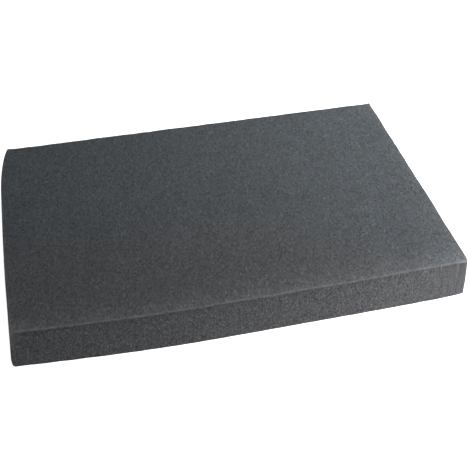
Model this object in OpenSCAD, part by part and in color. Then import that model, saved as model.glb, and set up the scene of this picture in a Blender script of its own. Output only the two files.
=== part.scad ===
// A plain slab of fine-celled foam, cut to size by a blade, lying flat.
// It is one piece all through. The origin is the middle of its base: the
// length runs along X, the front side faces -Y and the thickness runs up Z.
// The rear and right sides are straight. The front side bows out a little,
// and the left side bends in towards the rear, where the blade wandered.

/* [Slab] */
// Length along X, from the foot of the left side to the right side
slab_length = 405; // [250:5:600]
// Depth along Y, from the fullest point of the front side to the rear side
slab_depth = 285; // [150:5:400]
// Thickness along Z
slab_thickness = 40; // [20:1:100]

/* [Front side] */
// How far the front side bows out past its two corners
front_bow = 5.6; // [0:0.2:15]
// How far left of the middle the front side is fullest
bow_offset = 65; // [-80:5:80]

/* [Left side] */
// How far the whole left side is drawn in by the time it reaches the rear
side_draw = 5; // [0:0.5:20]
// Length of the tighter curve that ends the left side at the rear
curve_reach = 90; // [20:5:120]
// How much further that curve draws in the rear left corner
curve_draw = 6.5; // [0:0.5:25]
// How far the left side leans in at the top of the slab
side_lean = 3.5; // [0:0.5:10]

/* [Edges and corners] */
// Radius of the upright corners at the top of the slab
corner_top = 2.5; // [2:0.5:10]
// Radius of the upright corners at the foot, where they have rubbed rounder
corner_foot = 4.5; // [2:0.5:10]
// Radius of the softened edges round the top and the base
edge_radius = 1.5; // [0.5:0.25:2]

/* [Hidden] */
// Colour of the foam
foam_grey = [0.30, 0.32, 0.33];
// Half of the length and half of the depth
half_length = slab_length / 2;
half_depth = slab_depth / 2;
// Y of the front corners, which the bow of the front side stands out from
corner_y = front_bow - half_depth;
// Height of each of the two rims that the slab is drawn between
rim_height = 3 * edge_radius;
// Steps along each bent side, round each upright corner and over each soft edge
side_steps = 20;
corner_steps = 5;
edge_steps = 3;

// How far the front side has come back from its fullest point, at x: a parabola
// to each corner, so that the two halves meet smoothly wherever the bow is fullest
function front_return(x) =
    let (from_crown = x + bow_offset)
    let (to_corner = half_length + sign(from_crown) * bow_offset)
    front_bow * pow(from_crown / to_corner, 2);

// How far the left side is drawn in at y: a gentle curve along its whole depth,
// and a tighter one over its last stretch before the rear
function left_draw(y) =
    let (along = (y - corner_y) / (half_depth - corner_y))
    let (into_curve = max(0, 1 - (half_depth - y) / curve_reach))
    side_draw * pow(along, 2) + curve_draw * pow(into_curve, 3);

// Points round one upright corner, anticlockwise over a quarter turn
function corner_points(centre, radius, start) =
    [for (i = [0:corner_steps])
        let (angle = start + 90 * i / corner_steps)
        centre + radius * [cos(angle), sin(angle)]];

// Outline of the slab seen from above, anticlockwise from its front left corner.
// lean moves the left side in, and inset takes every side in by the same amount
function outline(radius, lean, inset) =
    let (left = lean - half_length)
    let (front = -half_depth)
    let (low_y = corner_y + radius)
    let (high_y = half_depth - radius)
    let (low_x = left + left_draw(low_y) + radius)
    let (high_x = half_length - radius)
    let (rear_x = left + left_draw(high_y) + radius)
    concat(
        corner_points([low_x, front + front_return(low_x) + radius], radius - inset, 180),
        [for (i = [1:side_steps - 1])
            let (x = low_x + (high_x - low_x) * i / side_steps)
            [x, front + front_return(x) + inset]],
        corner_points([high_x, front + front_return(high_x) + radius], radius - inset, 270),
        corner_points([high_x, high_y], radius - inset, 0),
        corner_points([rear_x, high_y], radius - inset, 90),
        [for (i = [1:side_steps - 1])
            let (y = high_y + (low_y - high_y) * i / side_steps)
            [left + left_draw(y) + inset, y]]
    );

// One rim of the slab: slices that grow shorter as they grow wider, so that
// together they round its edges over
module rim(radius, lean) {
    for (i = [0:edge_steps]) {
        angle = 90 * i / edge_steps;
        inset = edge_radius * (1 - cos(angle));
        drop = edge_radius * (1 - sin(angle));
        translate([0, 0, drop])
            linear_extrude(rim_height - 2 * drop)
                polygon(outline(radius, lean, inset));
    }
}

// The slab: drawn straight from the rim at its base to the rim at its top
module foam_block() {
    color(foam_grey)
        hull() {
            rim(corner_foot, 0);
            translate([0, 0, slab_thickness - rim_height])
                rim(corner_top, side_lean);
        }
}

foam_block();
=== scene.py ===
import math
import bpy
import numpy as np
from mathutils import Matrix, Vector


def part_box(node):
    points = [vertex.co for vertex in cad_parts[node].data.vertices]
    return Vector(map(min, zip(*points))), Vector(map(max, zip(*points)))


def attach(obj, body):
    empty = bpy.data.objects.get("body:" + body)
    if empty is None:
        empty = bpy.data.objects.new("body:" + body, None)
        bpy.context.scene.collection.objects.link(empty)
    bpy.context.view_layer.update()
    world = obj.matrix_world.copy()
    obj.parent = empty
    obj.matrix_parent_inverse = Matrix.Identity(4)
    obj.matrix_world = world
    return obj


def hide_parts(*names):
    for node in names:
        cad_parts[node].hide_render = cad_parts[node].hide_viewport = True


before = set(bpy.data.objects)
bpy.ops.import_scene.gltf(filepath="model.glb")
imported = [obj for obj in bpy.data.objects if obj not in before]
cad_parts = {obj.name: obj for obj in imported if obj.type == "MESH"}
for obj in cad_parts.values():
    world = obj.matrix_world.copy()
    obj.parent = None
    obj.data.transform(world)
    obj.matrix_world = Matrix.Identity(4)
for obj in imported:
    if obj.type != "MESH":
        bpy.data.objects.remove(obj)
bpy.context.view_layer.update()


# ---- The foam slab ----------------------------------------------------------------
# One slab of closed-cell polyethylene foam, dark grey all through and soft enough to
# dent with a thumb. It was slit flat from a thicker bun and its four sides were cut
# by a long blade. Nothing is fixed to it, and it lies flat under its own weight.

MM = 0.001

slab_low, slab_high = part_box("foam_block")
slab_length = slab_high.x - slab_low.x
slab_depth = slab_high.y - slab_low.y
slab_thickness = slab_high.z - slab_low.z
half_length = slab_length / 2
half_depth = slab_depth / 2

front_bow = 5.6 * MM         # how far the front side bows out past its corners
bow_offset = 65 * MM         # how far left of the middle it is fullest
side_draw = 5 * MM           # how far the left side is drawn in towards the rear
curve_reach = 90 * MM        # length of the tighter curve that ends it
curve_draw = 6.5 * MM        # how much further that curve draws in the rear corner
side_lean = 3.5 * MM         # how far the left side leans in at the top
right_hollow = 0.35 * MM     # how far the right side hollows in near the front
hollow_y = -105 * MM         # where it does, and how far to each side
hollow_reach = 38 * MM
left_belly = 0.35 * MM       # how far the left side swells
left_belly_y = -45 * MM      # where it does, and how far to each side
left_belly_reach = 50 * MM
foot_belly = 1.1 * MM        # how far the front side swells at its foot
belly_x = -50 * MM           # where it does, and how far to each side
belly_reach = 60 * MM
corner_top = 1.8 * MM        # radius of the upright corners at the top
worn_top = 3.6 * MM          # and of the front right one there
corner_foot = 1.8 * MM       # radius of the upright corners at the foot
worn_foot = 2.6 * MM         # and of the left ones there
edge_radius = 1.5 * MM       # radius of the softened edges
edge_waver = 0.10            # share by which that radius comes and goes along an edge
waver_length = 19 * MM       # length over which it does
waver_seed = 3

column_step = 1.26 * MM      # mesh steps along the length, depth and thickness
row_step = 2.45 * MM
layer_step = 1.7 * MM
edge_lines = np.array([0.0, 0.5, 0.88, 1.2, 1.5, 2.0, 2.6, 3.3, 4.1, 5.1]) * MM
base_steps = 10              # further steps on the base before its flat middle

front_roll = 0.25 * MM       # how far the top rolls down towards the front side
roll_reach = 30 * MM         # how far in from that side it starts to
swell = 0.08 * MM            # unevenness of the cut faces
swell_length = 46 * MM
ripple = 0.015 * MM          # finer unevenness that the blade left
ripple_length = 9 * MM
uneven_seeds = (11, 21, 31)  # for the unevenness in height, in length and in depth
side_reach = 9 * MM          # how far in from a side that side's unevenness counts
tiny = 1e-9                  # keeps a division from meeting nought

# Small dents in the rim of the top, as (x, y, reach, depth), and how far each presses
# the side in, as a share of its depth
nicks = np.array([
    (-188.0, -139.0, 2.0, 0.35),
    (-142.0, -141.0, 2.4, 0.45),
    (-106.0, -142.0, 3.4, 0.40),
    (62.0, -141.0, 2.0, 0.30),
    (118.0, -139.0, 2.6, 0.35),
    (202.0, 60.0, 2.4, 0.35),
    (-40.0, 142.0, 3.0, 0.30),
]) * MM
nick_inset = 0.6

# Corners pressed in where the slab has been stood on them or dropped, as (x, y, z,
# reach, rise, inset along X, inset along Y), and the two at the rear of the top that
# stand proud. A minus inset goes outwards.
pressed_corners = np.array([
    (201.7, -136.1, 0.0, 9.0, 1.10, 0.55, 0.15),
    (-201.7, -136.1, 0.0, 4.5, 0.0, 1.15, 0.0),
    (201.7, -136.1, 40.0, 6.5, -0.85, 0.15, 0.15),
    (-187.5, 142.0, 40.0, 6.0, 0.35, 0.60, -0.35),
    (202.0, 142.0, 40.0, 5.0, 0.35, -0.30, -0.35),
]) * MM


def graded_lines(length, step):
    """Places of the mesh lines along one side of the slab, from minus to plus half
    its length: the edge lines in from each end, and even steps of about the given
    size between them."""
    last = edge_lines[-1]
    count = int(round((length - 2 * last) / step))
    middle = np.linspace(last, length - last, count + 1)[1:-1]
    return np.concatenate([edge_lines, middle, length - edge_lines[::-1]]) - length / 2


def eased(share):
    """A share from 0 to 1 that starts and ends gently: 3 times its square less twice
    its cube."""
    return share ** 2 * (3 - 2 * share)


def in_top_quarter(height):
    """0 up to three quarters of the thickness, then rising evenly to 1 at the top."""
    return np.clip(height * 4 - 3, 0, 1)


def waves(points, length, seed, count=14):
    """A smooth random field over points: the sum of plane waves cos(k.p + phase),
    with k turned at random and its length within a third of 2 pi / length, divided
    so that the field's root mean square is 1."""
    draw = np.random.default_rng(seed)
    heading = draw.normal(size=(count, 3))
    heading /= np.linalg.norm(heading, axis=1, keepdims=True)
    stretch = draw.uniform(2 / 3, 4 / 3, size=(count, 1))
    phase = draw.uniform(0, 2 * math.pi, size=count)
    angle = points @ (heading * stretch * 2 * math.pi / length).T + phase
    return np.cos(angle).sum(axis=1) / math.sqrt(count / 2)


def front_return(x):
    """How far the front side has come back from its fullest point: the bow times the
    square of the share of the way from that point to the corner."""
    from_crown = x + bow_offset
    to_corner = half_length + np.sign(from_crown) * bow_offset
    return front_bow * (from_crown / to_corner) ** 2


def left_draw(y):
    """How far the left side is drawn in: the side's draw times the square of the
    share of the way to the rear, plus the curve's draw times the cube of the share
    of the way into the last stretch."""
    corner_y = front_bow - half_depth
    along = (y - corner_y) / (half_depth - corner_y)
    into_curve = np.clip(1 - (half_depth - y) / curve_reach, 0, None)
    return side_draw * along ** 2 + curve_draw * into_curve ** 3


def rounded(points):
    """The box's surface with its edges and corners rounded over. Near a top or base
    edge a point at (wall, face) from the two faces goes to the quarter circle of the
    edge radius r: both of r - wall and r - face are divided by their hypotenuse over
    r. Its distance from the next side keeps its share of the way to the corner
    radius R. Then, in plan, a point inside the corner square of side R, as the
    vector (u, v) from that square's inner corner, is scaled by max(u, v) over its
    length, which turns squares into quarter circles."""
    x, y, z = points.T
    from_x = half_length - np.abs(x)
    from_y = half_depth - np.abs(y)
    wall = np.minimum(from_x, from_y)
    far = np.maximum(from_x, from_y)
    face = np.minimum(z, slab_thickness - z)
    radius = edge_radius * (1 + edge_waver * waves(points, waver_length, waver_seed))
    over_wall = np.clip(radius - wall, 0, None)
    over_face = np.clip(radius - face, 0, None)
    both = (over_wall > 0) & (over_face > 0)
    shrink = np.where(both, radius / np.maximum(np.hypot(over_wall, over_face), tiny), 1)
    new_wall = np.where(both, radius - over_wall * shrink, wall)
    new_face = np.where(both, radius - over_face * shrink, face)
    z = np.where(z > slab_thickness / 2, slab_thickness - new_face, new_face)
    at_foot = np.where(x < 0, worn_foot, corner_foot)
    at_top = np.where((x > 0) & (y < 0), worn_top, corner_top)
    corner = at_foot + (at_top - at_foot) * z / slab_thickness
    slide = (far - wall) * (corner - new_wall) / np.maximum(corner - wall, tiny)
    new_far = np.where(far < corner, new_wall + slide, far)
    x_near = from_x < from_y
    from_x = np.where(x_near, new_wall, new_far)
    from_y = np.where(x_near, new_far, new_wall)
    u = np.clip(corner - from_x, 0, None)
    v = np.clip(corner - from_y, 0, None)
    turn = np.maximum(u, v) / np.maximum(np.hypot(u, v), tiny)
    in_corner = (u > 0) & (v > 0)
    from_x = np.where(in_corner, corner - u * turn, from_x)
    from_y = np.where(in_corner, corner - v * turn, from_y)
    x = np.where(x < 0, -1, 1) * (half_length - from_x)
    y = np.where(y < 0, -1, 1) * (half_depth - from_y)
    return np.stack([x, y, z], 1)


def cut_to_shape(points):
    """The blade's wandering: x moves in by the left side's draw and lean, less its
    swelling, in the share of the way from the right side to the left, and by the
    right side's hollow in the rest, and y moves in by the front side's return, less
    the belly of its foot, in the share of the way from the rear side to the front.
    The hollow, the swelling and the belly are bells, exp(-(distance / reach)^2), and
    the belly also falls away as the square of the share of the thickness that is
    left above."""
    x, y, z = points.T
    height = z / slab_thickness
    leftness = (half_length - x) / slab_length
    frontness = (half_depth - y) / slab_depth
    belly = foot_belly * np.exp(-((x - belly_x) / belly_reach) ** 2) * (1 - height) ** 2
    swelling = left_belly * np.exp(-((y - left_belly_y) / left_belly_reach) ** 2)
    from_left = leftness * (left_draw(y) + side_lean * height - swelling)
    hollow = right_hollow * np.exp(-((y - hollow_y) / hollow_reach) ** 2)
    from_right = (1 - leftness) * hollow
    from_front = frontness * (front_return(x) - belly)
    return np.stack([x + from_left - from_right, y + from_front, z], 1)


def nick_bells(x, y):
    """exp(-(distance / reach)^2) from each nick, one row for each."""
    distance = np.hypot(x - nicks[:, 0:1], y - nicks[:, 1:2])
    return np.exp(-(distance / nicks[:, 2:3]) ** 2)


def worn(points):
    """Handling and its own softness: the top rolls down by front_roll times the
    square of the share of the way from roll_reach to the front side, the faces swell
    and ripple by smooth random fields that die out at the base, each nick presses
    the rim down by its depth times its bell, and in by a share of that, and the
    pressed corners rise or drop and move in by the same sort of bell."""
    x, y, z = points.T.copy()
    height = z / slab_thickness
    rise = eased(height)
    from_front = y + half_depth - front_return(x)
    z = z - rise * front_roll * np.clip(1 - from_front / roll_reach, 0, None) ** 2
    uneven = [
        swell * waves(points, swell_length, seed) + ripple * waves(points, ripple_length, seed + 1)
        for seed in uneven_seeds
    ]
    z = z + rise * uneven[0]
    x = x + rise * uneven[1] * np.sign(x) * np.exp((np.abs(x) - half_length) / side_reach)
    y = y + rise * uneven[2] * np.sign(y) * np.exp((np.abs(y) - half_depth) / side_reach)
    press = in_top_quarter(height) * (nicks[:, 3:] * nick_bells(x, y)).sum(axis=0)
    z = z - press
    y = y - press * np.sign(y) * nick_inset
    for corner_x, corner_y, corner_z, reach, lift, inset_x, inset_y in pressed_corners:
        distance = np.sqrt((x - corner_x) ** 2 + (y - corner_y) ** 2 + (z - corner_z) ** 2)
        bell = np.exp(-(distance / reach) ** 2)
        x = x - inset_x * bell * np.sign(corner_x)
        y = y - inset_y * bell * np.sign(corner_y)
        z = z + lift * bell
    return np.stack([x, y, z], 1)


# The mesh is the six faces of a box on one set of lines, welded along its edges
columns = graded_lines(slab_length, column_step)
rows = graded_lines(slab_depth, row_step)
layers = graded_lines(slab_thickness, layer_step) + slab_thickness / 2
counts = (len(columns), len(rows), len(layers))
base_rim = len(edge_lines) - 1 + base_steps


def box_face(fixed_axis, fixed_index, first_axis, second_axis):
    """One face of the box as quads: for every pair of neighbouring lines (a, a + 1)
    and (b, b + 1), the corners (a, b), (a + 1, b), (a + 1, b + 1), (a, b + 1), each
    as its three line numbers."""
    a, b = np.meshgrid(
        np.arange(counts[first_axis] - 1), np.arange(counts[second_axis] - 1), indexing="ij"
    )
    quads = np.zeros(a.shape + (4, 3), int)
    quads[..., fixed_axis] = fixed_index
    quads[..., first_axis] = a[..., None] + np.array([0, 1, 1, 0])
    quads[..., second_axis] = b[..., None] + np.array([0, 0, 1, 1])
    return quads.reshape(-1, 4, 3)


top_quads = box_face(2, counts[2] - 1, 0, 1)
front_quads = box_face(1, 0, 0, 2)
rear_quads = box_face(1, counts[1] - 1, 2, 0)
right_quads = box_face(0, counts[0] - 1, 1, 2)
left_quads = box_face(0, 0, 2, 1)
base_quads = box_face(2, 0, 1, 0)
low = base_quads.min(axis=1)
in_rim = (low[:, 0] < base_rim) | (low[:, 0] > counts[0] - 2 - base_rim)
in_rim |= (low[:, 1] < base_rim) | (low[:, 1] > counts[1] - 2 - base_rim)
base_quads = base_quads[in_rim]

# The flat middle of the base is a fan of triangles inside that rim, which look down
x_lines = np.arange(base_rim, counts[0] - base_rim)
y_lines = np.arange(base_rim, counts[1] - base_rim)
around = np.concatenate([
    np.stack([np.full(len(y_lines) - 1, x_lines[0]), y_lines[:-1]], 1),
    np.stack([x_lines[:-1], np.full(len(x_lines) - 1, y_lines[-1])], 1),
    np.stack([np.full(len(y_lines) - 1, x_lines[-1]), y_lines[:0:-1]], 1),
    np.stack([x_lines[:0:-1], np.full(len(x_lines) - 1, y_lines[0])], 1),
])
ring = np.column_stack([around, np.zeros(len(around), int)])
hub = np.full(ring.shape, (counts[0] // 2, counts[1] // 2, 0))
base_middle = np.stack([ring, np.roll(ring, -1, axis=0), hub], 1)

faces = [top_quads, front_quads, rear_quads, right_quads, left_quads, base_quads]
corners = np.concatenate([face.reshape(-1, 3) for face in faces + [base_middle]])
line_ids = (corners[:, 0] * counts[1] + corners[:, 1]) * counts[2] + corners[:, 2]
used, corner_vertex = np.unique(line_ids, return_inverse=True)
column_ids, row_ids, layer_ids = np.unravel_index(used, counts)
box_points = np.stack([columns[column_ids], rows[row_ids], layers[layer_ids]], 1)
places = worn(cut_to_shape(rounded(box_points)))

quad_count = sum(len(face) for face in faces)
polygons = corner_vertex[:quad_count * 4].reshape(-1, 4).tolist()
polygons += corner_vertex[quad_count * 4:].reshape(-1, 3).tolist()
foam_mesh = bpy.data.meshes.new("foam_slab")
foam_mesh.from_pydata(places.tolist(), [], polygons)
foam_mesh.polygons.foreach_set("use_smooth", np.ones(len(polygons), bool))

# How far each point of the box is from its ends, sides and faces, and how far it
# belongs to a cut side
from_left = half_length + box_points[:, 0]
from_right = half_length - box_points[:, 0]
from_front = half_depth + box_points[:, 1]
from_ends = half_length - np.abs(box_points[:, 0])
from_sides = half_depth - np.abs(box_points[:, 1])
from_faces = np.minimum(box_points[:, 2], slab_thickness - box_points[:, 2])
height_share = box_points[:, 2] / slab_thickness
wall_depth = np.minimum(from_ends, from_sides)
cut_side = np.clip(0.5 + (from_faces - wall_depth) / (2 * edge_radius), 0, 1)

# Painted light on the top, paler along its front, right and left rims and at the
# front right corner, and painted shade on the sides, darker just under the rim
front_paling = 0.74
front_fade = 14 * MM
right_paling = 0.45
left_paling = 0.75
end_fade = 4.5 * MM
left_corner_fade = 50 * MM
corner_paling = 0.55
corner_fade = 30 * MM
# Painted shade on the sides just under the rim
painted_under_rim_shade = 0.28
under_fade = 4.5 * MM
on_top = (1 - cut_side) * (box_points[:, 2] > slab_thickness / 2)
painted_light_and_shade = on_top * (
    front_paling * np.exp(-from_front / front_fade)
    + corner_paling * np.exp(-(from_front + from_right) / corner_fade)
    + right_paling * np.exp(-from_right / end_fade)
    + left_paling * np.exp(-from_left / end_fade - from_front / left_corner_fade)
) - cut_side * painted_under_rim_shade * np.exp((box_points[:, 2] - slab_thickness) / under_fade)

# The rims are paler, partly from rubbing and partly as a painted highlight where the
# rounded edge would catch the light: most at the top, towards the left end and at the
# front right corner, less over a stretch on the right and where a nick has torn the
# foam. The upright corners carry a painted highlight too, strongest on the left ones
rub_start = 0.3 * MM
rub_end = 2.1 * MM
side_narrowing = 0.35
foot_rub = 0.15
left_rub = 0.95
left_rub_fade = 45 * MM
right_rub = 2.2
right_rub_width = 6 * MM
right_rub_fade = 60 * MM
rim_dip = 0.42
rim_dip_x = 138 * MM
rim_dip_reach = 38 * MM
tear = 0.8
rim_distance = np.sort(np.stack([from_ends, from_sides, from_faces]), axis=0)[1]
rub_distance = rim_distance * (1 + side_narrowing * cut_side)
rub_share = np.clip((rub_end - rub_distance) / (rub_end - rub_start), 0, 1)
rub_level = foot_rub + (1 - foot_rub) * in_top_quarter(height_share)
rub_level = rub_level * (
    1
    + left_rub * np.exp(-from_left / left_rub_fade)
    + right_rub * np.exp(-from_right / right_rub_width - from_front / right_rub_fade)
    - rim_dip * np.exp(-((box_points[:, 0] - rim_dip_x) / rim_dip_reach) ** 2)
)
torn = tear * nick_bells(places[:, 0], places[:, 1]).max(axis=0)
# Painted highlight on the upright corners, strongest on the left ones
left_upright_highlight = 3.8
right_upright_highlight = 1.0
upright_fade = 2.2 * MM
upright_foot = 0.05
upright_highlight = np.where(box_points[:, 0] < 0, left_upright_highlight, right_upright_highlight)
upright = upright_highlight * np.exp(-np.maximum(from_ends, from_sides) / upright_fade)
upright = upright * (upright_foot + (1 - upright_foot) * height_share ** 3)
rubbed = np.maximum(eased(rub_share) * rub_level * (1 - torn), upright)

# A painted tint of the light: the sides, the front of the top over a stretch that
# narrows to nothing on the right, and a strip of the top along the right rim are
# painted less blue, for less of the bluish light from behind
tint_edge = 115 * MM
tint_blur = 35 * MM
tint_narrows = 30 * MM
tint_width = 150 * MM
rim_tint_level = 0.45
rim_tint_width = 25 * MM
rim_tint_reach = 150 * MM
narrowing = np.clip((box_points[:, 0] - tint_narrows) / tint_width, 0, 1)
tint_limit = tint_edge * (1 - narrowing)
front_tint = eased(np.clip((tint_limit - from_front) / (2 * tint_blur) + 0.5, 0, 1))
along_rim = (from_front / rim_tint_reach) ** 4
rim_tint = rim_tint_level * np.exp(-(from_right / rim_tint_width) ** 2 - along_rim)
painted_tint = np.maximum(cut_side, np.maximum(front_tint, rim_tint))

# The blade's streaks are faint on the sides and plainest at the front right corner
streak_level = 0.35
corner_streak_level = 1.6
corner_streak_reach = 34 * MM
near_corner = np.exp(-((from_right + from_front) / corner_streak_reach) ** 2)
streaked = cut_side * (streak_level + corner_streak_level * near_corner)

# The cut sides, the blade's streaks, and the painted light, shade, highlight and tint, kept on the
# foam's points
wear_and_painted_light = {
    "cut_side": cut_side,
    "painted_light_and_shade": painted_light_and_shade,
    "rubbed": rubbed,
    "painted_tint": painted_tint,
    "streaked": streaked,
}
for name, values in wear_and_painted_light.items():
    attribute = foam_mesh.attributes.new(name, "FLOAT", "POINT")
    attribute.data.foreach_set("value", values.astype(np.float32))

# The flat pattern of its faces, laid out as the slab unfolds: the sides round the top,
# and the base, drawn smaller because it is hidden, beyond the rear side
gap = 4 * MM
base_scale = 0.49
strip = slab_thickness + gap
flat = np.stack([columns[corners[:, 0]], rows[corners[:, 1]], layers[corners[:, 2]]], 1)
ends = np.cumsum([len(face) * 4 for face in faces])
starts = np.concatenate([[0], ends[:-1]])
pattern = np.zeros((len(corners), 2))
unfold = [
    lambda p: (p[:, 0], p[:, 1]),
    lambda p: (p[:, 0], p[:, 2] - half_depth - strip),
    lambda p: (p[:, 0], half_depth + strip - p[:, 2]),
    lambda p: (half_length + strip - p[:, 2], p[:, 1]),
    lambda p: (p[:, 2] - half_length - strip, p[:, 1]),
]
for start, end, unfolded in zip(starts, ends, unfold):
    pattern[start:end] = np.stack(unfolded(flat[start:end]), 1)
base_middle_y = half_depth + strip + gap + base_scale * half_depth
pattern[starts[-1]:] = np.stack([
    base_scale * flat[starts[-1]:, 0], base_middle_y - base_scale * flat[starts[-1]:, 1],
], 1)
pattern -= pattern.min(axis=0) - gap
pattern /= pattern.max() + gap
foam_uv = foam_mesh.uv_layers.new(name="OFBake")
foam_uv.data.foreach_set("uv", pattern.astype(np.float32).ravel())
foam_mesh.update()


def add_node(tree, kind, inputs, **settings):
    """A new node in the tree, with its settings, and with each named input either
    linked from another node's output or set to a value."""
    node = tree.nodes.new(kind)
    for name, value in settings.items():
        setattr(node, name, value)
    for name, value in inputs.items():
        if isinstance(value, bpy.types.NodeSocket):
            tree.links.new(value, node.inputs[name])
        else:
            node.inputs[name].default_value = value
    return node


def maths(tree, operation, first, second=0.0, third=0.0, clamp=False):
    """The output of one Math node."""
    inputs = {0: first, 1: second, 2: third}
    node = add_node(tree, "ShaderNodeMath", inputs, operation=operation, use_clamp=clamp)
    return node.outputs[0]


def new_group(name, inputs, outputs):
    """An empty node group, with its named inputs and outputs."""
    tree = bpy.data.node_groups.new(name, "ShaderNodeTree")
    for label, kind, value in inputs:
        socket = tree.interface.new_socket(label, in_out="INPUT", socket_type=kind)
        if value is not None:
            socket.default_value = value
    for label, kind in outputs:
        tree.interface.new_socket(label, in_out="OUTPUT", socket_type=kind)
    return tree, tree.nodes.new("NodeGroupInput"), tree.nodes.new("NodeGroupOutput")


# Foam cells: each cut cell is a shallow pit of its own shade between thin pale walls,
# and in a few of them a fleck of wall is painted paler, a painted glint where it would
# catch the light. Lengths are in cells.
bends = 0.55                 # bends of the walls
bend_reach = 0.9             # how far they bend
wall_width = 0.16            # width of the pale walls
pit_slope = 0.42             # width of the slope into a pit
middle_shade = 0.5
shallowest = 0.5             # depth of the shallowest pit, as a share of the deepest
cells, given, gives = new_group(
    "foam cells",
    [
        ("Vector", "NodeSocketVector", None),
        ("Cell Size", "NodeSocketFloat", 0.001),
        ("Shade Spread", "NodeSocketFloat", 0.5),
        ("Wall Paleness", "NodeSocketFloat", 0.2),
        ("Fleck Share", "NodeSocketFloat", 0.1),
        ("Fleck Paleness", "NodeSocketFloat", 0.5),
    ],
    [("Shade", "NodeSocketFloat"), ("Height", "NodeSocketFloat")],
)
per_metre = maths(cells, "DIVIDE", 1.0, given.outputs["Cell Size"])
bent = add_node(cells, "ShaderNodeTexNoise", {
    "Vector": given.outputs["Vector"],
    "Scale": maths(cells, "MULTIPLY", per_metre, bends),
    "Detail": 1.0,
})
bend = add_node(cells, "ShaderNodeVectorMath", {
    0: bent.outputs["Color"], 1: (0.5, 0.5, 0.5),
}, operation="SUBTRACT")
bend = add_node(cells, "ShaderNodeVectorMath", {
    0: bend.outputs[0],
    "Scale": maths(cells, "MULTIPLY", given.outputs["Cell Size"], bend_reach),
}, operation="SCALE")
where = add_node(cells, "ShaderNodeVectorMath", {
    0: given.outputs["Vector"], 1: bend.outputs[0],
}, operation="ADD")
cell = add_node(cells, "ShaderNodeTexVoronoi", {"Vector": where.outputs[0], "Scale": per_metre})
edges = add_node(cells, "ShaderNodeTexVoronoi", {
    "Vector": where.outputs[0], "Scale": per_metre,
}, feature="DISTANCE_TO_EDGE")
lot = add_node(cells, "ShaderNodeSeparateColor", {"Color": cell.outputs["Color"]})
wall, slope = [
    add_node(cells, "ShaderNodeMapRange", {
        "Value": edges.outputs["Distance"],
        "From Min": 0.0, "From Max": width, "To Min": 1.0, "To Max": 0.0,
    }, interpolation_type="SMOOTHSTEP").outputs[0]
    for width in (wall_width, pit_slope)
]
spread = maths(cells, "SUBTRACT", lot.outputs["Red"], 0.5)
spread = maths(cells, "MULTIPLY", spread, given.outputs["Shade Spread"])
paler = maths(cells, "MULTIPLY", wall, given.outputs["Wall Paleness"])
# The flecks are painted glints
fleck = maths(cells, "LESS_THAN", lot.outputs["Green"], given.outputs["Fleck Share"])
fleck = maths(cells, "MULTIPLY", fleck, given.outputs["Fleck Paleness"])
shade = maths(cells, "ADD", maths(cells, "ADD", spread, paler), maths(cells, "ADD", fleck, middle_shade))
depth = maths(cells, "MULTIPLY_ADD", lot.outputs["Blue"], 1 - shallowest, shallowest)
pit = maths(cells, "MULTIPLY", maths(cells, "SUBTRACT", 1.0, slope), depth)
cells.links.new(shade, gives.inputs["Shade"])
cells.links.new(maths(cells, "SUBTRACT", 1.0, pit), gives.inputs["Height"])

# The foam itself, matt and dark grey all through, from the shade of its darkest cells
# to that of its palest ones
dark_foam = (0.0361, 0.0407, 0.0444, 1.0)
pale_foam = (0.0800, 0.0900, 0.0981, 1.0)
foam_roughness = 0.92
foam_specular = 0.12
foam = bpy.data.materials.new("dark_grey_foam")
foam.use_nodes = True
tree = foam.node_tree
tree.nodes.clear()
coordinates = add_node(tree, "ShaderNodeTexCoord", {}).outputs["Object"]
side, painted_lighting, rub, grey, streaky = [
    add_node(tree, "ShaderNodeAttribute", {}, attribute_name=name).outputs["Fac"] for name in wear_and_painted_light
]


def foam_cells(stretch, turn, cell_size, shade_spread, wall_paleness, fleck_share, fleck_paleness):
    """The foam cells group with its own values, its cells drawn out along each axis
    by the stretch and then turned about Z."""
    placed = add_node(tree, "ShaderNodeMapping", {
        "Vector": coordinates, "Rotation": (0.0, 0.0, turn), "Scale": stretch,
    }, vector_type="TEXTURE")
    node = add_node(tree, "ShaderNodeGroup", {}, node_tree=cells)
    tree.links.new(placed.outputs[0], node.inputs["Vector"])
    node.inputs["Cell Size"].default_value = cell_size
    node.inputs["Shade Spread"].default_value = shade_spread
    node.inputs["Wall Paleness"].default_value = wall_paleness
    node.inputs["Fleck Share"].default_value = fleck_share
    node.inputs["Fleck Paleness"].default_value = fleck_paleness
    return node


# The slit faces show the cells drawn out and cut shallow, and the sides show them
# upright and cut deeper
slit_cells = foam_cells(
    stretch=(1.0, 2.0, 1.0), turn=math.radians(-12), cell_size=1.25 * MM, shade_spread=0.68,
    wall_paleness=0.50, fleck_share=0.09, fleck_paleness=0.50,
)
side_cells = foam_cells(
    stretch=(0.94, 1.0, 1.60), turn=0.0, cell_size=0.94 * MM, shade_spread=1.34,
    wall_paleness=0.27, fleck_share=0.12, fleck_paleness=1.05,
)
slit_relief = 0.2            # height of the slit cells' walls against the side cells'
slit_darkening = 0.215       # how much darker the slit cells are
slit_height = maths(tree, "MULTIPLY", slit_cells.outputs["Height"], slit_relief)
slit_shade = maths(tree, "SUBTRACT", slit_cells.outputs["Shade"], slit_darkening)
grain = add_node(tree, "ShaderNodeMix", {
    "Factor": side, "A": slit_shade, "B": side_cells.outputs["Shade"],
}).outputs[0]
height = add_node(tree, "ShaderNodeMix", {
    "Factor": side, "A": slit_height, "B": side_cells.outputs["Height"],
}).outputs[0]

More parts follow.
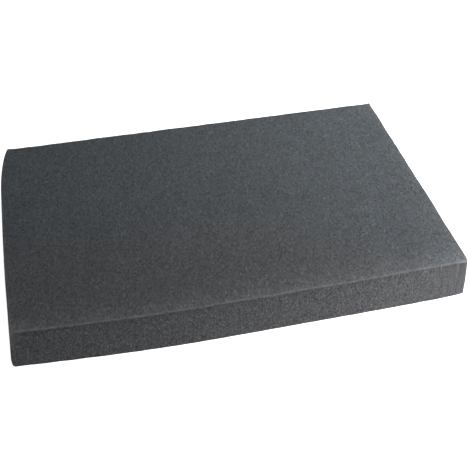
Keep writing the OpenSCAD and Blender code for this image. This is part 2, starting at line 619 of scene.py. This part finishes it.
# The blade that cut the sides left upright streaks, and where they are plainest it
# smeared the cells too
streaks_per_metre = 1700.0
streak_length = 0.025        # streaks met along Z against those met along X or Y
streak_strength = 0.75
smear_strength = 0.36
smear_shade = 0.69
drawn_out = add_node(tree, "ShaderNodeMapping", {
    "Vector": coordinates, "Scale": (1.0, 1.0, streak_length),
}).outputs[0]
streaks = add_node(tree, "ShaderNodeTexNoise", {
    "Vector": drawn_out, "Scale": streaks_per_metre, "Detail": 0.0,
}).outputs[0]
streaking = maths(tree, "MULTIPLY", maths(tree, "SUBTRACT", streaks, 0.5), streaky)
smeared = add_node(tree, "ShaderNodeMix", {
    "Factor": maths(tree, "MULTIPLY", streaky, smear_strength), "A": grain, "B": smear_shade,
}).outputs[0]

# Broad faint clouds, fainter on the sides
clouds_per_metre = 34.0
cloud_strength = 0.15
side_cloud_loss = 0.03
mottle = add_node(tree, "ShaderNodeTexNoise", {
    "Vector": coordinates, "Scale": clouds_per_metre, "Detail": 1.0,
}).outputs[0]
clouds = maths(tree, "SUBTRACT", mottle, 0.5)
cloudiness = maths(tree, "MULTIPLY_ADD", side, -side_cloud_loss, cloud_strength)
shade = maths(tree, "MULTIPLY_ADD", clouds, cloudiness, smeared)
shade = maths(tree, "MULTIPLY_ADD", streaking, streak_strength, shade)
body = add_node(tree, "ShaderNodeMix", {
    "Factor": shade, "A": dark_foam, "B": pale_foam,
}, data_type="RGBA", clamp_factor=False).outputs["Result"]

# Painted light and shade scale it, and rubbing and a painted highlight pale its rims
# in broken patches
paling_strength = 0.757
painted_lit_body = add_node(tree, "ShaderNodeVectorMath", {
    0: body, "Scale": maths(tree, "MULTIPLY_ADD", painted_lighting, paling_strength, 1.0),
}, operation="SCALE").outputs[0]
# The colour of the rims' rubbing and painted highlight
rubbed_foam = (0.1425, 0.1543, 0.1655, 1.0)
patches_per_metre = 240.0
patch_low = 0.35
patch_high = 0.65
least_rubbed = 0.18
most_rubbed = 0.84
patches = add_node(tree, "ShaderNodeTexNoise", {
    "Vector": coordinates, "Scale": patches_per_metre, "Detail": 2.0,
}).outputs[0]
patchy = add_node(tree, "ShaderNodeMapRange", {
    "Value": patches, "From Min": patch_low, "From Max": patch_high,
    "To Min": least_rubbed, "To Max": most_rubbed,
}).outputs[0]
colour = add_node(tree, "ShaderNodeMix", {
    "Factor": maths(tree, "MULTIPLY", rub, patchy, clamp=True), "A": painted_lit_body, "B": rubbed_foam,
}, data_type="RGBA").outputs["Result"]

# A painted tint takes some of the blue out of it, for less of the bluish light from behind
painted_tint_colour = (1.080, 0.993, 0.965, 1.0)
tinted_colour = add_node(tree, "ShaderNodeMix", {
    "Factor": grey, "A": colour, "B": painted_tint_colour,
}, data_type="RGBA", blend_type="MULTIPLY").outputs["Result"]

pit_strength = 0.55
pit_depth = 0.35 * MM
bump = add_node(tree, "ShaderNodeBump", {
    "Strength": pit_strength, "Distance": pit_depth, "Height": height,
})
shader = add_node(tree, "ShaderNodeBsdfPrincipled", {
    "Base Color": tinted_colour, "Roughness": foam_roughness, "Specular IOR Level": foam_specular,
    "Normal": bump.outputs["Normal"],
})
add_node(tree, "ShaderNodeOutputMaterial", {"Surface": shader.outputs["BSDF"]})
foam_mesh.materials.append(foam)

foam_slab = bpy.data.objects.new("foam_slab", foam_mesh)
bpy.context.scene.collection.objects.link(foam_slab)
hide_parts("foam_block")
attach(foam_slab, "root")


# ---- The floor and the white behind it ----------------------------------------------
# A plain pale floor that the slab lies on, and an even white all round. The floor
# keeps the slab's shadow, and throws a little light back up at its sides.

floor_reach = 6.0
floor_colour = (0.80, 0.80, 0.80, 1.0)
floor_glow = 0.93
sky_colour = (0.92, 0.94, 1.0, 1.0)
sky_strength = 0.107
white = (1.0, 1.0, 1.0, 1.0)


def plainly_seen(tree):
    """1 for what the camera sees straight, mirrored or through glass, and 0 for what
    only lights something: the largest of the three Light Path outputs."""
    rays = add_node(tree, "ShaderNodeLightPath", {}).outputs
    seen = maths(tree, "MAXIMUM", rays["Is Camera Ray"], rays["Is Glossy Ray"])
    return maths(tree, "MAXIMUM", seen, rays["Is Transmission Ray"])


floor_mesh = bpy.data.meshes.new("floor")
floor_mesh.from_pydata([
    (-floor_reach, -floor_reach, 0), (floor_reach, -floor_reach, 0),
    (floor_reach, floor_reach, 0), (-floor_reach, floor_reach, 0),
], [], [(0, 1, 2, 3)])
paint = bpy.data.materials.new("pale_floor")
paint.use_nodes = True
tree = paint.node_tree
tree.nodes.clear()
matt = add_node(tree, "ShaderNodeBsdfDiffuse", {"Color": floor_colour})
glow = add_node(tree, "ShaderNodeEmission", {
    "Strength": maths(tree, "MULTIPLY", plainly_seen(tree), floor_glow),
})
both = add_node(tree, "ShaderNodeAddShader", {0: matt.outputs[0], 1: glow.outputs[0]})
add_node(tree, "ShaderNodeOutputMaterial", {"Surface": both.outputs[0]})
floor_mesh.materials.append(paint)
floor = bpy.data.objects.new("floor", floor_mesh)
bpy.context.scene.collection.objects.link(floor)

world = bpy.data.worlds.new("white_room")
bpy.context.scene.world = world
world.use_nodes = True
tree = world.node_tree
tree.nodes.clear()
sky = add_node(tree, "ShaderNodeBackground", {"Color": sky_colour, "Strength": sky_strength})
plain = add_node(tree, "ShaderNodeBackground", {"Color": white, "Strength": 1.0})
either = add_node(tree, "ShaderNodeMixShader", {
    0: plainly_seen(tree), 1: sky.outputs[0], 2: plain.outputs[0],
})
add_node(tree, "ShaderNodeOutputWorld", {"Surface": either.outputs[0]})


# ---- Lamps and camera ---------------------------------------------------------------
# Three soft boxes of nearly white light: one close in front of the right end, which it
# lights more than the other, one close behind the rear right corner, and one further
# off that fills in from the left.

# Each as (name, place, what it is aimed at, spread in degrees, watts, colour)
lamps = [
    ("key_soft_box", (0.737, -0.516, 0.40), (0.3, 0.0, 0.04), 80.0, 3.97, (1.0, 0.98, 0.972)),
    ("rear_soft_box", (0.530, 0.430, 0.25), (0.0, 0.0, 0.04), 180.0, 4.72, (0.955, 0.988, 0.99)),
    ("fill_soft_box", (-1.222, -0.445, 0.30), (0.0, 0.0, 0.04), 180.0, 3.73, (0.970, 1.0, 0.988)),
]
lamp_size = 0.4
for lamp_name, lamp_place, lamp_aim, lamp_spread, lamp_watts, lamp_colour in lamps:
    lamp = bpy.data.lights.new(lamp_name, "AREA")
    lamp.shape = "SQUARE"
    lamp.size = lamp_size
    lamp.spread = math.radians(lamp_spread)
    lamp.energy = lamp_watts
    lamp.color = lamp_colour
    lamp_object = bpy.data.objects.new(lamp_name, lamp)
    lamp_object.location = lamp_place
    turn = (Vector(lamp_aim) - Vector(lamp_place)).to_track_quat("-Z", "Y")
    lamp_object.rotation_euler = turn.to_euler()
    bpy.context.scene.collection.objects.link(lamp_object)

camera_place = Vector((-148.6, -802.3, 629.6)) * MM
camera_heading = math.radians(11.903)  # clockwise from straight along +Y
camera_dip = math.radians(37.595)      # below the horizon
camera_roll = math.radians(-0.999)     # about its own line of sight
camera_lens = 81.106                   # focal length in mm
level_view = math.pi / 2     # turns the camera from looking down to looking level
camera_data = bpy.data.cameras.new("camera")
camera_data.lens = camera_lens
camera = bpy.data.objects.new("camera", camera_data)
camera.matrix_world = (
    Matrix.Translation(camera_place)
    @ Matrix.Rotation(-camera_heading, 4, "Z")
    @ Matrix.Rotation(level_view - camera_dip, 4, "X")
    @ Matrix.Rotation(camera_roll, 4, "Z")
)
bpy.context.scene.collection.objects.link(camera)
bpy.context.scene.camera = camera
bpy.context.scene.view_settings.view_transform = "Standard"
